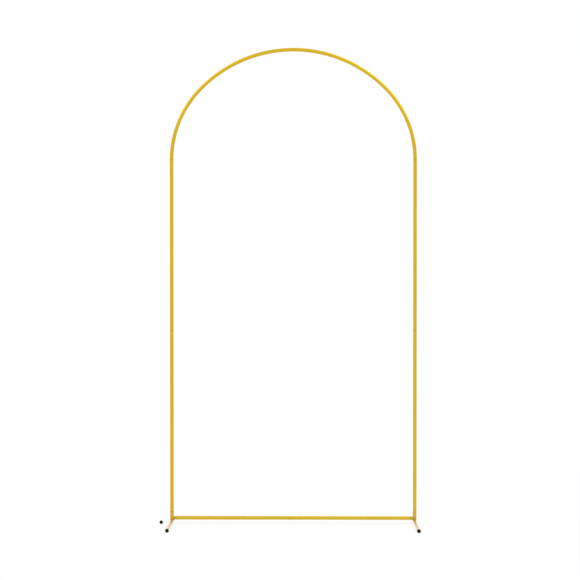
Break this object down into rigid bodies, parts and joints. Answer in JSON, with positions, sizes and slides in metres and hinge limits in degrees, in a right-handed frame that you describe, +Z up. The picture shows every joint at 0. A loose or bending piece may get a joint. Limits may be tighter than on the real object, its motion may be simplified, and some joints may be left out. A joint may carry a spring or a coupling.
{
  "type": "wedding arch frame",
  "caption": "Free-standing round-topped arch of slim gold tube on front-to-back foot bars with black end plugs and a low crossbar.",
  "frame": {"origin": "on the floor, midway between the axes of the two uprights", "axes": "+X from the left foot to the right foot, -Y to the front, +Z up"},
  "size_m": [1.1453, 0.325, 2.1173],
  "materials": {
    "gold_tube": "satin gold paint on steel tube",
    "black_rubber": "matt moulded",
    "black_plastic": "satin moulded",
    "bright_steel": "plain zinc",
    "spigot_steel": "plain rolled sleeve"
  },
  "bodies": {
    "root": {"crossbar_middle_spigot": "spigot_steel", "crown_spigot": "spigot_steel", "left_arch_tube": "gold_tube", "left_base_spigot": "spigot_steel", "left_clamp_knob": "black_plastic", "left_clamp_screw": "bright_steel", "left_crossbar": "gold_tube", "left_crossbar_spigot": "spigot_steel", "left_crossbar_stub": "gold_tube", "left_foot_bar": "gold_tube", "left_foot_post": "gold_tube", "left_front_foot_cap": "black_rubber", "left_lower_upright": "gold_tube", "left_mid_spigot": "spigot_steel", "left_rear_foot_cap": "black_rubber", "left_shoulder_spigot": "spigot_steel", "left_upper_upright": "gold_tube", "right_arch_tube": "gold_tube", "right_base_spigot": "spigot_steel", "right_crossbar": "gold_tube", "right_crossbar_spigot": "spigot_steel", "right_crossbar_stub": "gold_tube", "right_foot_bar": "gold_tube", "right_foot_post": "gold_tube", "right_front_foot_cap": "black_rubber", "right_lower_upright": "gold_tube", "right_mid_spigot": "spigot_steel", "right_rear_foot_cap": "black_rubber", "right_shoulder_spigot": "spigot_steel", "right_upper_upright": "gold_tube"}
  },
  "joints": []
}
